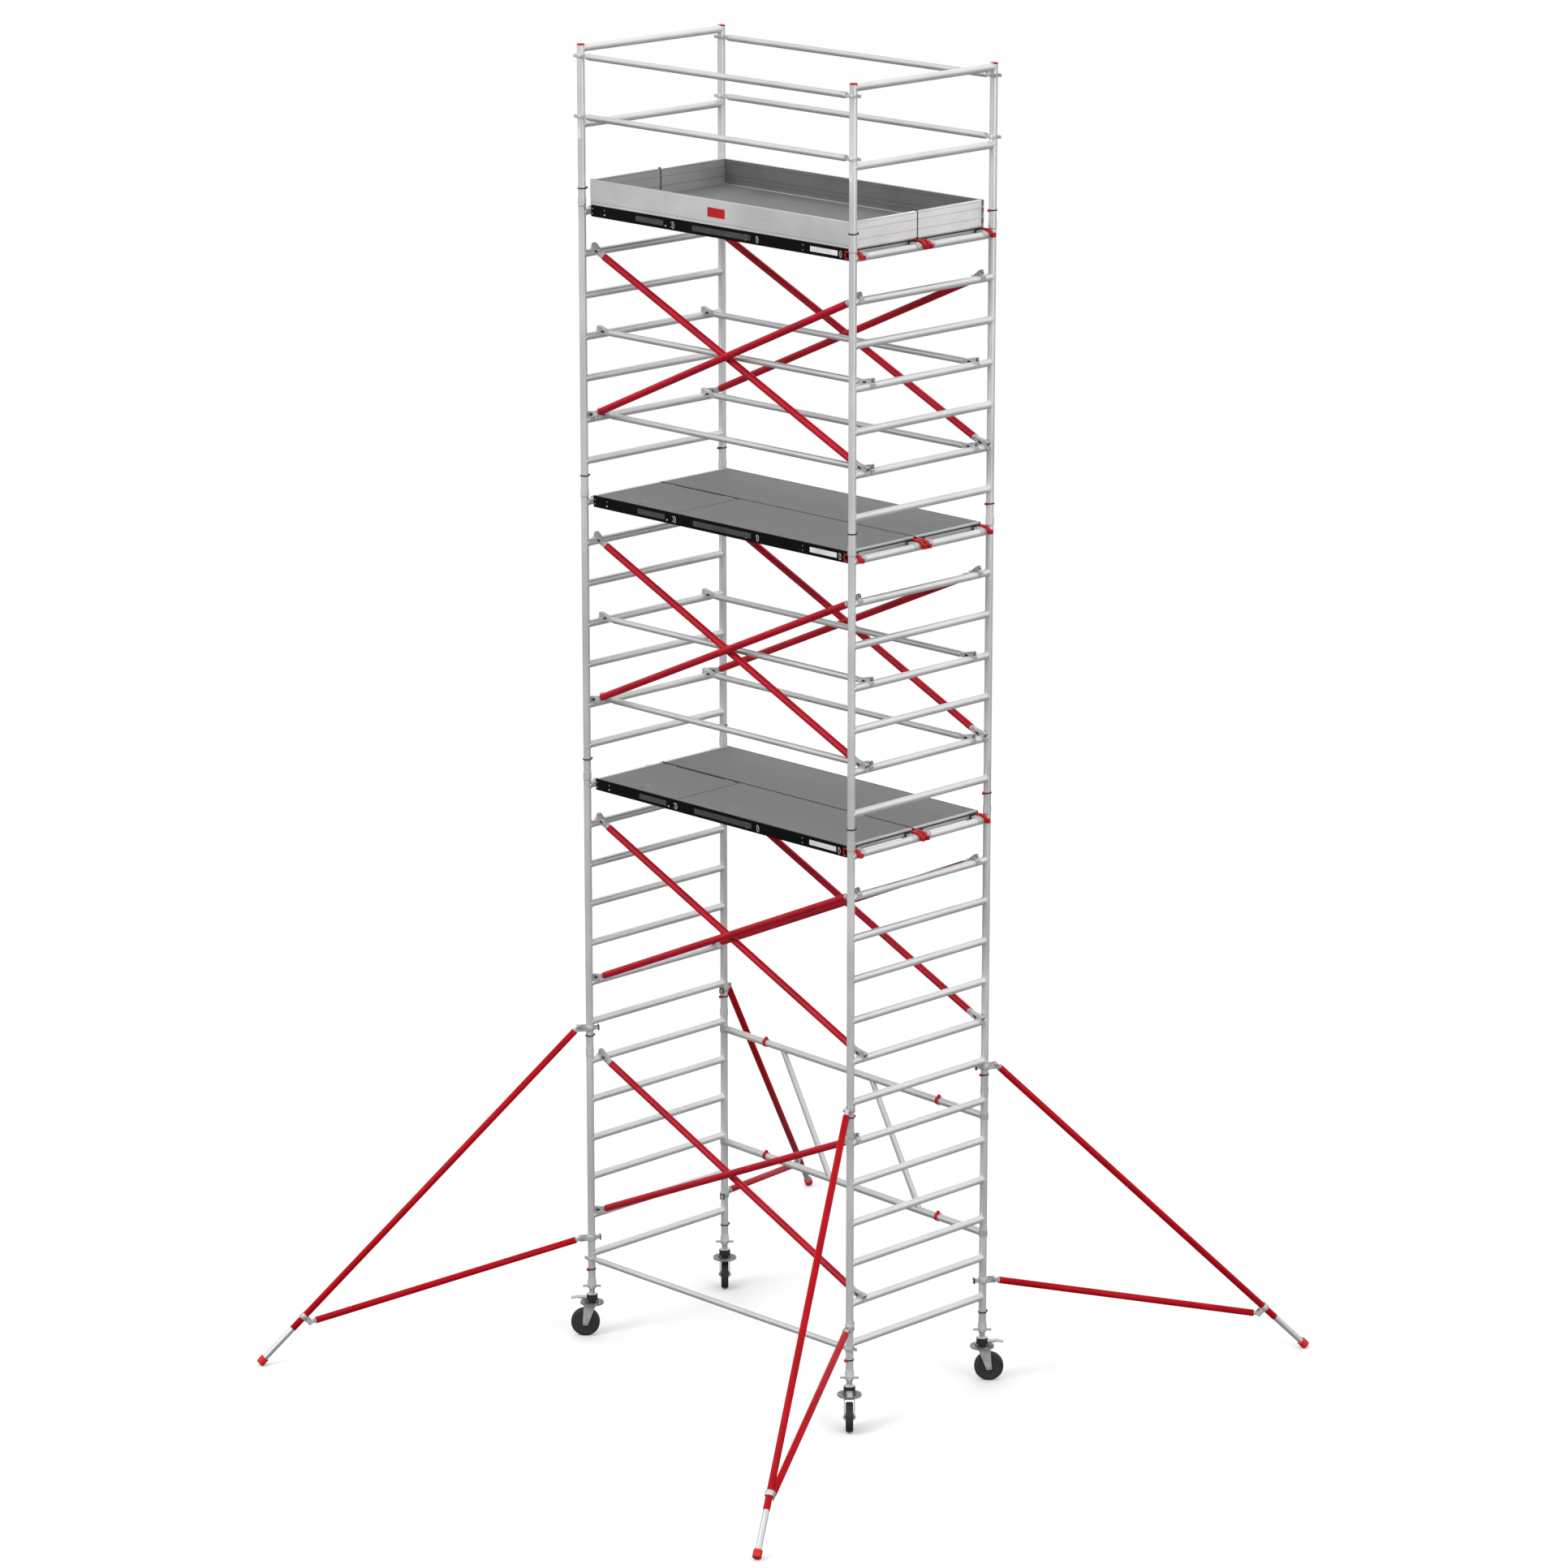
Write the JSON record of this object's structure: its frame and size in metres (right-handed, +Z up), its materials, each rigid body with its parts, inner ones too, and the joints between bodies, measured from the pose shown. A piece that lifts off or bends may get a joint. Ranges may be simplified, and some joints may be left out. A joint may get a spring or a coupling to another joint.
{
  "type": "mobile tower scaffold",
  "caption": "Mobile access tower: ladder-frame ends with clipped joints, diagonal braces, guardrails, double platforms with trapdoors, toe boards, levelling castors and outrigger stabilisers.",
  "frame": {"origin": "on the ground, under the middle of the tower and of its four stabilisers", "axes": "+Z up, X along the platforms with the left end at -X, Y across the tower with the front at -Y"},
  "size_m": [4.8904, 5.3804, 8.9922],
  "materials": {
    "frame_aluminium": "extruded tube, satin mill finish",
    "rail_aluminium": "extruded tube, satin mill finish",
    "board_aluminium": "ribbed extrusion, satin mill finish",
    "cast_aluminium": "die-cast, fine grain",
    "brace_red": "powder coated aluminium tube, deep red",
    "stabiliser_red": "powder coated aluminium tube, red",
    "foot_rubber": "moulded rubber on a mill-finish tube",
    "plastic_red": "moulded plastic, red",
    "clip_black": "moulded plastic, black with a red tab",
    "deck_panel": "phenolic-faced plywood, grey, fine anti-slip print",
    "beam_black": "black coated aluminium profile",
    "spindle_steel": "zinc plated steel with a black housing",
    "nut_cast": "cast nut, zinc plated",
    "fork_steel": "pressed steel, zinc plated",
    "wheel_tread": "black moulded wheel"
  },
  "bodies": {
    "tower": {"base_frame_left": "frame_aluminium", "base_frame_right": "frame_aluminium", "ladder_frames_2": "frame_aluminium", "ladder_frames_3": "frame_aluminium", "ladder_frames_4": "frame_aluminium", "guard_frames": "frame_aluminium", "post_caps": "plastic_red", "interlock_clips": "clip_black", "diagonal_braces": "brace_red", "guardrails": "rail_aluminium", "hook_castings": "cast_aluminium", "base_hinge_stubs": "rail_aluminium", "base_fold_panel": "rail_aluminium", "base_fold_clips": "plastic_red", "deck_panels_1": "deck_panel", "deck_panels_2": "deck_panel", "deck_panels_3": "deck_panel", "deck_beams": "beam_black", "deck_cross_members": "board_aluminium", "deck_fittings": "cast_aluminium", "toe_boards_side": "board_aluminium", "toe_boards_end": "board_aluminium"},
    "hatch_1": {"hatch_1": "deck_panel"},
    "hatch_2": {"hatch_2": "deck_panel"},
    "hatch_3": {"hatch_3": "deck_panel"},
    "windlocks_1": {"windlocks_1": "plastic_red"},
    "windlocks_2": {"windlocks_2": "plastic_red"},
    "windlocks_3": {"windlocks_3": "plastic_red"},
    "castor_leg_front_left": {"castor_leg_front_left": "spindle_steel"},
    "castor_leg_back_left": {"castor_leg_back_left": "spindle_steel"},
    "castor_leg_back_right": {"castor_leg_back_right": "spindle_steel"},
    "castor_leg_front_right": {"castor_leg_front_right": "spindle_steel"},
    "castor_nut_front_left": {"castor_nut_front_left": "nut_cast"},
    "castor_nut_back_left": {"castor_nut_back_left": "nut_cast"},
    "castor_nut_back_right": {"castor_nut_back_right": "nut_cast"},
    "castor_nut_front_right": {"castor_nut_front_right": "nut_cast"},
    "castor_fork_front_left": {"castor_fork_front_left": "fork_steel"},
    "castor_fork_back_left": {"castor_fork_back_left": "fork_steel"},
    "castor_fork_back_right": {"castor_fork_back_right": "fork_steel"},
    "castor_fork_front_right": {"castor_fork_front_right": "fork_steel"},
    "castor_wheel_front_left": {"castor_wheel_front_left": "wheel_tread"},
    "castor_wheel_back_left": {"castor_wheel_back_left": "wheel_tread"},
    "castor_wheel_back_right": {"castor_wheel_back_right": "wheel_tread"},
    "castor_wheel_front_right": {"castor_wheel_front_right": "wheel_tread"},
    "castor_brake_front_left": {"castor_brake_front_left": "fork_steel"},
    "castor_brake_back_left": {"castor_brake_back_left": "fork_steel"},
    "castor_brake_back_right": {"castor_brake_back_right": "fork_steel"},
    "castor_brake_front_right": {"castor_brake_front_right": "fork_steel"},
    "stabiliser_front_left": {"stabiliser_clamps_front_left": "cast_aluminium", "stabiliser_struts_front_left": "stabiliser_red"},
    "stabiliser_back_left": {"stabiliser_clamps_back_left": "cast_aluminium", "stabiliser_struts_back_left": "stabiliser_red"},
    "stabiliser_back_right": {"stabiliser_clamps_back_right": "cast_aluminium", "stabiliser_struts_back_right": "stabiliser_red"},
    "stabiliser_front_right": {"stabiliser_clamps_front_right": "cast_aluminium", "stabiliser_struts_front_right": "stabiliser_red"},
    "stabiliser_foot_front_left": {"stabiliser_foot_front_left": "foot_rubber"},
    "stabiliser_foot_back_left": {"stabiliser_foot_back_left": "foot_rubber"},
    "stabiliser_foot_back_right": {"stabiliser_foot_back_right": "foot_rubber"},
    "stabiliser_foot_front_right": {"stabiliser_foot_front_right": "foot_rubber"}
  },
  "joints": [
    {"name": "level_front_left", "type": "slide", "parent": "tower", "child": "castor_leg_front_left", "axis": [0, 0, -1], "range_m": [0, 0.2]},
    {"name": "nut_front_left", "type": "hinge", "parent": "tower", "child": "castor_nut_front_left", "pos_m": [-1.25, -0.644, 0.36], "axis": [0, 0, 1], "continuous": true},
    {"name": "swivel_front_left", "type": "hinge", "parent": "castor_leg_front_left", "child": "castor_fork_front_left", "pos_m": [-1.25, -0.644, 0.2], "axis": [0, 0, 1], "continuous": true},
    {"name": "roll_front_left", "type": "hinge", "parent": "castor_fork_front_left", "child": "castor_wheel_front_left", "pos_m": [-1.28323, -0.67723, 0.1], "axis": [0.7071, -0.7071, 0], "continuous": true},
    {"name": "brake_front_left", "type": "hinge", "parent": "castor_fork_front_left", "child": "castor_brake_front_left", "pos_m": [-1.28677, -0.68077, 0.274], "axis": [0.7071, -0.7071, 0], "range_deg": [0, 20]},
    {"name": "swing_front_left", "type": "hinge", "parent": "tower", "child": "stabiliser_front_left", "pos_m": [-1.25, -0.644, 2], "axis": [0, 0, 1], "range_deg": [-20, 35]},
    {"name": "extend_front_left", "type": "slide", "parent": "stabiliser_front_left", "child": "stabiliser_foot_front_left", "axis": [-0.356, -0.6166, -0.7022], "range_m": [0, 0.4]},
    {"name": "level_back_left", "type": "slide", "parent": "tower", "child": "castor_leg_back_left", "axis": [0, 0, -1], "range_m": [0, 0.2]},
    {"name": "nut_back_left", "type": "hinge", "parent": "tower", "child": "castor_nut_back_left", "pos_m": [-1.25, 0.644, 0.36], "axis": [0, 0, 1], "continuous": true},
    {"name": "swivel_back_left", "type": "hinge", "parent": "castor_leg_back_left", "child": "castor_fork_back_left", "pos_m": [-1.25, 0.644, 0.2], "axis": [0, 0, 1], "continuous": true},
    {"name": "roll_back_left", "type": "hinge", "parent": "castor_fork_back_left", "child": "castor_wheel_back_left", "pos_m": [-1.28323, 0.67723, 0.1], "axis": [-0.7071, -0.7071, 0], "continuous": true},
    {"name": "brake_back_left", "type": "hinge", "parent": "castor_fork_back_left", "child": "castor_brake_back_left", "pos_m": [-1.28677, 0.68077, 0.274], "axis": [-0.7071, -0.7071, 0], "range_deg": [0, 20]},
    {"name": "swing_back_left", "type": "hinge", "parent": "tower", "child": "stabiliser_back_left", "pos_m": [-1.25, 0.644, 2], "axis": [0, 0, 1], "range_deg": [-35, 20]},
    {"name": "extend_back_left", "type": "slide", "parent": "stabiliser_back_left", "child": "stabiliser_foot_back_left", "axis": [-0.356, 0.6166, -0.7022], "range_m": [0, 0.4]},
    {"name": "level_back_right", "type": "slide", "parent": "tower", "child": "castor_leg_back_right", "axis": [0, 0, -1], "range_m": [0, 0.2]},
    {"name": "nut_back_right", "type": "hinge", "parent": "tower", "child": "castor_nut_back_right", "pos_m": [1.25, 0.644, 0.36], "axis": [0, 0, 1], "continuous": true},
    {"name": "swivel_back_right", "type": "hinge", "parent": "castor_leg_back_right", "child": "castor_fork_back_right", "pos_m": [1.25, 0.644, 0.2], "axis": [0, 0, 1], "continuous": true},
    {"name": "roll_back_right", "type": "hinge", "parent": "castor_fork_back_right", "child": "castor_wheel_back_right", "pos_m": [1.28323, 0.67723, 0.1], "axis": [-0.7071, 0.7071, 0], "continuous": true},
    {"name": "brake_back_right", "type": "hinge", "parent": "castor_fork_back_right", "child": "castor_brake_back_right", "pos_m": [1.28677, 0.68077, 0.274], "axis": [-0.7071, 0.7071, 0], "range_deg": [0, 20]},
    {"name": "swing_back_right", "type": "hinge", "parent": "tower", "child": "stabiliser_back_right", "pos_m": [1.25, 0.644, 2], "axis": [0, 0, 1], "range_deg": [-20, 35]},
    {"name": "extend_back_right", "type": "slide", "parent": "stabiliser_back_right", "child": "stabiliser_foot_back_right", "axis": [0.356, 0.6166, -0.7022], "range_m": [0, 0.4]},
    {"name": "level_front_right", "type": "slide", "parent": "tower", "child": "castor_leg_front_right", "axis": [0, 0, -1], "range_m": [0, 0.2]},
    {"name": "nut_front_right", "type": "hinge", "parent": "tower", "child": "castor_nut_front_right", "pos_m": [1.25, -0.644, 0.36], "axis": [0, 0, 1], "continuous": true},
    {"name": "swivel_front_right", "type": "hinge", "parent": "castor_leg_front_right", "child": "castor_fork_front_right", "pos_m": [1.25, -0.644, 0.2], "axis": [0, 0, 1], "continuous": true},
    {"name": "roll_front_right", "type": "hinge", "parent": "castor_fork_front_right", "child": "castor_wheel_front_right", "pos_m": [1.28323, -0.67723, 0.1], "axis": [0.7071, 0.7071, 0], "continuous": true},
    {"name": "brake_front_right", "type": "hinge", "parent": "castor_fork_front_right", "child": "castor_brake_front_right", "pos_m": [1.28677, -0.68077, 0.274], "axis": [0.7071, 0.7071, 0], "range_deg": [0, 20]},
    {"name": "swing_front_right", "type": "hinge", "parent": "tower", "child": "stabiliser_front_right", "pos_m": [1.25, -0.644, 2], "axis": [0, 0, 1], "range_deg": [-35, 20]},
    {"name": "extend_front_right", "type": "slide", "parent": "stabiliser_front_right", "child": "stabiliser_foot_front_right", "axis": [0.356, -0.6166, -0.7022], "range_m": [0, 0.4]},
    {"name": "hatch_1_lid", "type": "hinge", "parent": "tower", "child": "hatch_1", "pos_m": [-0.8, -0.0146, 4.007], "axis": [-1, 0, 0], "range_deg": [0, 90]},
    {"name": "windlock_1", "type": "hinge", "parent": "tower", "child": "windlocks_1", "pos_m": [1.1956, 0, 3.9963], "axis": [0, -1, 0], "range_deg": [0, 50]},
    {"name": "hatch_2_lid", "type": "hinge", "parent": "tower", "child": "hatch_2", "pos_m": [-0.8, -0.0146, 5.967], "axis": [-1, 0, 0], "range_deg": [0, 90]},
    {"name": "windlock_2", "type": "hinge", "parent": "tower", "child": "windlocks_2", "pos_m": [1.1956, 0, 5.9563], "axis": [0, -1, 0], "range_deg": [0, 50]},
    {"name": "hatch_3_lid", "type": "hinge", "parent": "tower", "child": "hatch_3", "pos_m": [-0.8, -0.0146, 7.927], "axis": [-1, 0, 0], "range_deg": [0, 90]},
    {"name": "windlock_3", "type": "hinge", "parent": "tower", "child": "windlocks_3", "pos_m": [1.1956, 0, 7.9163], "axis": [0, -1, 0], "range_deg": [0, 50]}
  ],
  "couplings": [
    {"joint": "nut_front_left", "follows": "level_front_left", "rad_per_m": 523.6},
    {"joint": "nut_back_left", "follows": "level_back_left", "rad_per_m": 523.6},
    {"joint": "nut_back_right", "follows": "level_back_right", "rad_per_m": 523.6},
    {"joint": "nut_front_right", "follows": "level_front_right", "rad_per_m": 523.6}
  ]
}
